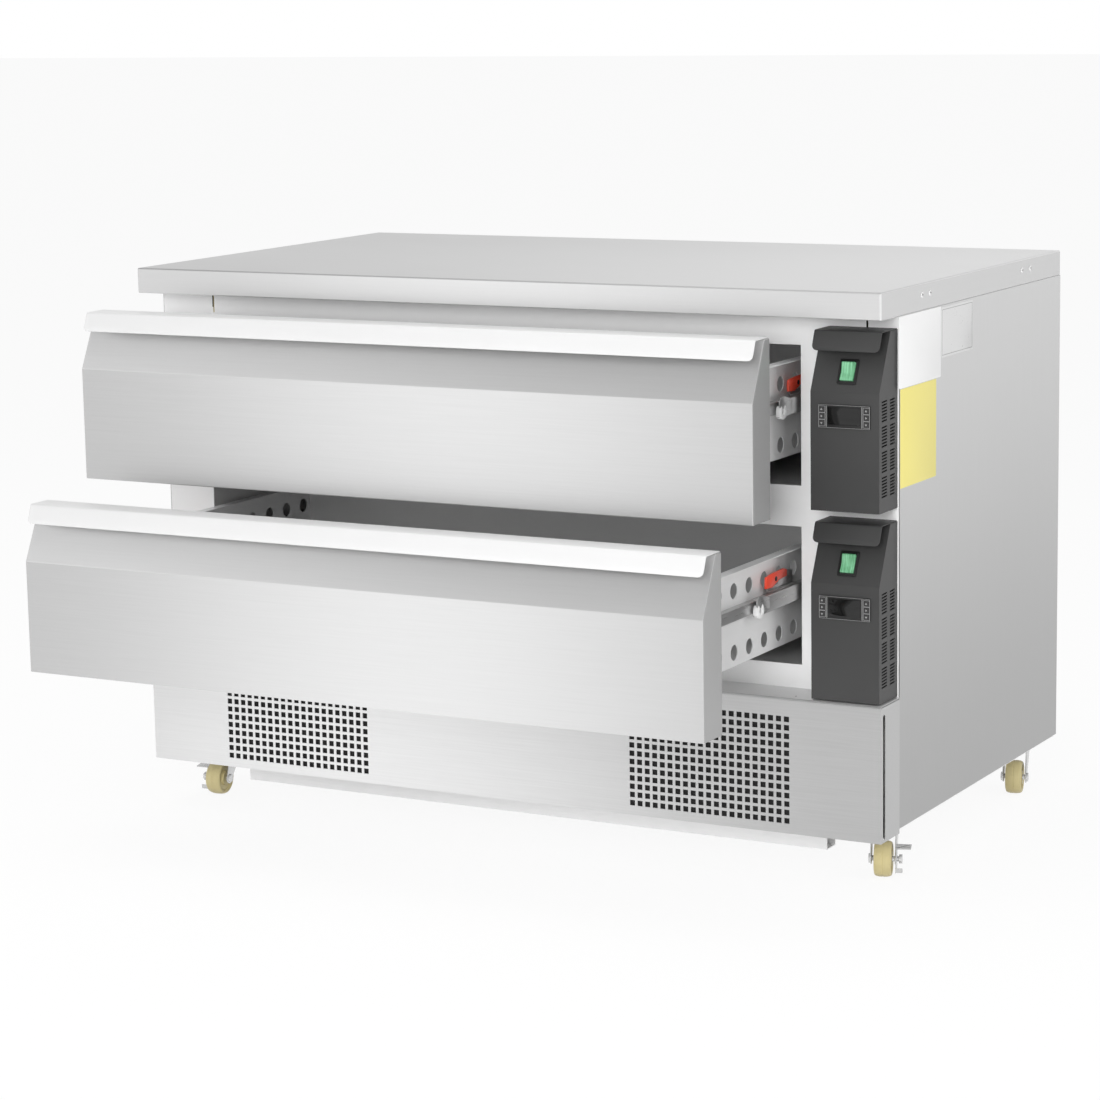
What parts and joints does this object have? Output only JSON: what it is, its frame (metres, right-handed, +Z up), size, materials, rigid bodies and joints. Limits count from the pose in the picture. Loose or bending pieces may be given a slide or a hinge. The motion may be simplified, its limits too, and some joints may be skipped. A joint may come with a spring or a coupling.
{
  "type": "refrigerated drawer counter",
  "caption": "Stainless steel under-counter refrigerator with wide pull-out drawers on telescopic slides, side control boxes, a vented machine compartment and swivel casters.",
  "frame": {"origin": "on the floor, under the middle of the box round the counter as it stands with its drawers partly open", "axes": "+X to the right seen from the front, +Y to the back, +Z up"},
  "size_m": [1.225, 1.004, 0.842],
  "materials": {
    "brushed_stainless": "brushed stainless steel",
    "galvanised_sheet": "galvanised steel sheet",
    "frame_stainless": "plain stainless steel",
    "insulation_foam": "rigid foam",
    "liner_stainless": "plain stainless steel",
    "compressor_black": "satin black paint",
    "heat_exchanger": "bare aluminium",
    "dark_enamel": "satin dark grey enamel",
    "black_plastic": "fine matt",
    "key_plastic": "fine matt",
    "green_rocker": "translucent gloss",
    "drawer_stainless": "brushed stainless steel",
    "handle_stainless": "brushed stainless steel",
    "door_seal": "soft grey",
    "basket_stainless": "plain stainless steel",
    "slide_steel": "zinc plated",
    "release_red": "semi-gloss",
    "fan_plastic": "fine matt",
    "caster_zinc": "bright zinc plate",
    "caster_nylon": "semi-gloss cream"
  },
  "bodies": {
    "cabinet": {"worktop": "brushed_stainless", "left_side_panel": "brushed_stainless", "right_side_panel": "brushed_stainless", "rear_panel": "galvanised_sheet", "insulation": "insulation_foam", "cabinet_liners": "liner_stainless", "face_frame": "frame_stainless", "lower_front_panel": "brushed_stainless", "base_pan": "galvanised_sheet", "compressor": "compressor_black", "condenser": "heat_exchanger", "evaporators": "heat_exchanger", "control_boxes": "dark_enamel", "switch_bezels": "black_plastic", "controllers": "black_plastic", "cabinet_rails": "slide_steel", "caster_plates": "caster_zinc"},
    "upper_drawer": {"upper_drawer_front": "drawer_stainless", "upper_drawer_handle": "handle_stainless", "upper_drawer_gasket": "door_seal", "upper_drawer_basket": "basket_stainless", "upper_drawer_rails": "slide_steel"},
    "upper_middle_rails": {"upper_middle_rails": "slide_steel"},
    "upper_left_latch": {"upper_left_latch": "release_red"},
    "upper_right_latch": {"upper_right_latch": "release_red"},
    "lower_drawer": {"lower_drawer_front": "drawer_stainless", "lower_drawer_handle": "handle_stainless", "lower_drawer_gasket": "door_seal", "lower_drawer_basket": "basket_stainless", "lower_drawer_rails": "slide_steel"},
    "lower_middle_rails": {"lower_middle_rails": "slide_steel"},
    "lower_left_latch": {"lower_left_latch": "release_red"},
    "lower_right_latch": {"lower_right_latch": "release_red"},
    "upper_rocker": {"upper_rocker": "green_rocker"},
    "upper_left_bottom_key": {"upper_left_bottom_key": "key_plastic"},
    "upper_left_middle_key": {"upper_left_middle_key": "key_plastic"},
    "upper_left_top_key": {"upper_left_top_key": "key_plastic"},
    "upper_right_bottom_key": {"upper_right_bottom_key": "key_plastic"},
    "upper_right_middle_key": {"upper_right_middle_key": "key_plastic"},
    "upper_right_top_key": {"upper_right_top_key": "key_plastic"},
    "lower_rocker": {"lower_rocker": "green_rocker"},
    "lower_left_bottom_key": {"lower_left_bottom_key": "key_plastic"},
    "lower_left_middle_key": {"lower_left_middle_key": "key_plastic"},
    "lower_left_top_key": {"lower_left_top_key": "key_plastic"},
    "lower_right_bottom_key": {"lower_right_bottom_key": "key_plastic"},
    "lower_right_middle_key": {"lower_right_middle_key": "key_plastic"},
    "lower_right_top_key": {"lower_right_top_key": "key_plastic"},
    "condenser_fan": {"condenser_fan": "fan_plastic"},
    "upper_evaporator_fan": {"upper_evaporator_fan": "fan_plastic"},
    "lower_evaporator_fan": {"lower_evaporator_fan": "fan_plastic"},
    "front_left_fork": {"front_left_fork": "caster_zinc"},
    "front_left_wheel": {"front_left_wheel": "caster_nylon"},
    "front_left_brake_lever": {"front_left_brake_lever": "caster_zinc"},
    "front_right_fork": {"front_right_fork": "caster_zinc"},
    "front_right_wheel": {"front_right_wheel": "caster_nylon"},
    "front_right_brake_lever": {"front_right_brake_lever": "caster_zinc"},
    "rear_left_fork": {"rear_left_fork": "caster_zinc"},
    "rear_left_wheel": {"rear_left_wheel": "caster_nylon"},
    "rear_right_fork": {"rear_right_fork": "caster_zinc"},
    "rear_right_wheel": {"rear_right_wheel": "caster_nylon"}
  },
  "joints": [
    {"name": "upper_drawer_slide", "type": "slide", "parent": "cabinet", "child": "upper_drawer", "axis": [0, -1, 0], "range_m": [-0.151, 0.369]},
    {"name": "upper_middle_slide", "type": "slide", "parent": "cabinet", "child": "upper_middle_rails", "axis": [0, -1, 0], "range_m": [-0.0755, 0.1845]},
    {"name": "upper_left_latch_pivot", "type": "hinge", "parent": "upper_middle_rails", "child": "upper_left_latch", "pos_m": [-0.5185, -0.0855, 0.702], "axis": [1, 0, 0], "range_deg": [0, 3.5], "stiffness_Nm_per_rad": 0.2, "springref_deg": -2.86},
    {"name": "upper_right_latch_pivot", "type": "hinge", "parent": "upper_middle_rails", "child": "upper_right_latch", "pos_m": [0.451, -0.0855, 0.702], "axis": [1, 0, 0], "range_deg": [0, 3.5], "stiffness_Nm_per_rad": 0.2, "springref_deg": -2.86},
    {"name": "lower_drawer_slide", "type": "slide", "parent": "cabinet", "child": "lower_drawer", "axis": [0, -1, 0], "range_m": [-0.306, 0.214]},
    {"name": "lower_middle_slide", "type": "slide", "parent": "cabinet", "child": "lower_middle_rails", "axis": [0, -1, 0], "range_m": [-0.153, 0.107]},
    {"name": "lower_left_latch_pivot", "type": "hinge", "parent": "lower_middle_rails", "child": "lower_left_latch", "pos_m": [-0.5185, -0.163, 0.436], "axis": [1, 0, 0], "range_deg": [0, 3.5], "stiffness_Nm_per_rad": 0.2, "springref_deg": -2.86},
    {"name": "lower_right_latch_pivot", "type": "hinge", "parent": "lower_middle_rails", "child": "lower_right_latch", "pos_m": [0.451, -0.163, 0.436], "axis": [1, 0, 0], "range_deg": [0, 3.5], "stiffness_Nm_per_rad": 0.2, "springref_deg": -2.86},
    {"name": "upper_rocker_tilt", "type": "hinge", "parent": "cabinet", "child": "upper_rocker", "pos_m": [0.558, -0.18311, 0.73109], "axis": [1, 0, 0], "range_deg": [0, 14]},
    {"name": "upper_left_bottom_key_press", "type": "slide", "parent": "cabinet", "child": "upper_left_bottom_key", "axis": [0, 1, 0], "range_m": [0, 0.0005], "stiffness_N_per_m": 200, "springref_m": -0.001},
    {"name": "upper_left_middle_key_press", "type": "slide", "parent": "cabinet", "child": "upper_left_middle_key", "axis": [0, 1, 0], "range_m": [0, 0.0005], "stiffness_N_per_m": 200, "springref_m": -0.001},
    {"name": "upper_left_top_key_press", "type": "slide", "parent": "cabinet", "child": "upper_left_top_key", "axis": [0, 1, 0], "range_m": [0, 0.0005], "stiffness_N_per_m": 200, "springref_m": -0.001},
    {"name": "upper_right_bottom_key_press", "type": "slide", "parent": "cabinet", "child": "upper_right_bottom_key", "axis": [0, 1, 0], "range_m": [0, 0.0005], "stiffness_N_per_m": 200, "springref_m": -0.001},
    {"name": "upper_right_middle_key_press", "type": "slide", "parent": "cabinet", "child": "upper_right_middle_key", "axis": [0, 1, 0], "range_m": [0, 0.0005], "stiffness_N_per_m": 200, "springref_m": -0.001},
    {"name": "upper_right_top_key_press", "type": "slide", "parent": "cabinet", "child": "upper_right_top_key", "axis": [0, 1, 0], "range_m": [0, 0.0005], "stiffness_N_per_m": 200, "springref_m": -0.001},
    {"name": "lower_rocker_tilt", "type": "hinge", "parent": "cabinet", "child": "lower_rocker", "pos_m": [0.558, -0.18311, 0.46509], "axis": [1, 0, 0], "range_deg": [0, 14]},
    {"name": "lower_left_bottom_key_press", "type": "slide", "parent": "cabinet", "child": "lower_left_bottom_key", "axis": [0, 1, 0], "range_m": [0, 0.0005], "stiffness_N_per_m": 200, "springref_m": -0.001},
    {"name": "lower_left_middle_key_press", "type": "slide", "parent": "cabinet", "child": "lower_left_middle_key", "axis": [0, 1, 0], "range_m": [0, 0.0005], "stiffness_N_per_m": 200, "springref_m": -0.001},
    {"name": "lower_left_top_key_press", "type": "slide", "parent": "cabinet", "child": "lower_left_top_key", "axis": [0, 1, 0], "range_m": [0, 0.0005], "stiffness_N_per_m": 200, "springref_m": -0.001},
    {"name": "lower_right_bottom_key_press", "type": "slide", "parent": "cabinet", "child": "lower_right_bottom_key", "axis": [0, 1, 0], "range_m": [0, 0.0005], "stiffness_N_per_m": 200, "springref_m": -0.001},
    {"name": "lower_right_middle_key_press", "type": "slide", "parent": "cabinet", "child": "lower_right_middle_key", "axis": [0, 1, 0], "range_m": [0, 0.0005], "stiffness_N_per_m": 200, "springref_m": -0.001},
    {"name": "lower_right_top_key_press", "type": "slide", "parent": "cabinet", "child": "lower_right_top_key", "axis": [0, 1, 0], "range_m": [0, 0.0005], "stiffness_N_per_m": 200, "springref_m": -0.001},
    {"name": "condenser_fan_spin", "type": "hinge", "parent": "cabinet", "child": "condenser_fan", "pos_m": [-0.3425, -0.123, 0.1685], "axis": [0, 1, 0], "continuous": true},
    {"name": "upper_evaporator_fan_spin", "type": "hinge", "parent": "cabinet", "child": "upper_evaporator_fan", "pos_m": [0.3235, 0.427, 0.657], "axis": [0, 1, 0], "continuous": true},
    {"name": "lower_evaporator_fan_spin", "type": "hinge", "parent": "cabinet", "child": "lower_evaporator_fan", "pos_m": [0.3235, 0.427, 0.401], "axis": [0, 1, 0], "continuous": true},
    {"name": "front_left_swivel", "type": "hinge", "parent": "cabinet", "child": "front_left_fork", "pos_m": [-0.5665, -0.076, 0.068], "axis": [0, 0, 1], "continuous": true},
    {"name": "front_left_wheel_spin", "type": "hinge", "parent": "front_left_fork", "child": "front_left_wheel", "pos_m": [-0.56476, -0.09592, 0.026], "axis": [0.9962, 0.0872, 0], "continuous": true},
    {"name": "front_left_brake_rock", "type": "hinge", "parent": "front_left_fork", "child": "front_left_brake_lever", "pos_m": [-0.56476, -0.09592, 0.026], "axis": [0.9962, 0.0872, 0], "range_deg": [-12, 0]},
    {"name": "front_right_swivel", "type": "hinge", "parent": "cabinet", "child": "front_right_fork", "pos_m": [0.5665, -0.076, 0.068], "axis": [0, 0, 1], "continuous": true},
    {"name": "front_right_wheel_spin", "type": "hinge", "parent": "front_right_fork", "child": "front_right_wheel", "pos_m": [0.57268, -0.09502, 0.026], "axis": [0.9511, 0.309, 0], "continuous": true},
    {"name": "front_right_brake_rock", "type": "hinge", "parent": "front_right_fork", "child": "front_right_brake_lever", "pos_m": [0.57268, -0.09502, 0.026], "axis": [0.9511, 0.309, 0], "range_deg": [-12, 0]},
    {"name": "rear_left_swivel", "type": "hinge", "parent": "cabinet", "child": "rear_left_fork", "pos_m": [-0.5665, 0.45, 0.068], "axis": [0, 0, 1], "continuous": true},
    {"name": "rear_left_wheel_spin", "type": "hinge", "parent": "rear_left_fork", "child": "rear_left_wheel", "pos_m": [-0.56303, 0.4303, 0.026], "axis": [0.9848, 0.1736, 0], "continuous": true},
    {"name": "rear_right_swivel", "type": "hinge", "parent": "cabinet", "child": "rear_right_fork", "pos_m": [0.5665, 0.45, 0.068], "axis": [0, 0, 1], "continuous": true},
    {"name": "rear_right_wheel_spin", "type": "hinge", "parent": "rear_right_fork", "child": "rear_right_wheel", "pos_m": [0.57134, 0.43059, 0.026], "axis": [0.9703, 0.2419, 0], "continuous": true}
  ],
  "couplings": [
    {"joint": "upper_middle_slide", "follows": "upper_drawer_slide", "ratio": 0.5},
    {"joint": "lower_middle_slide", "follows": "lower_drawer_slide", "ratio": 0.5}
  ]
}
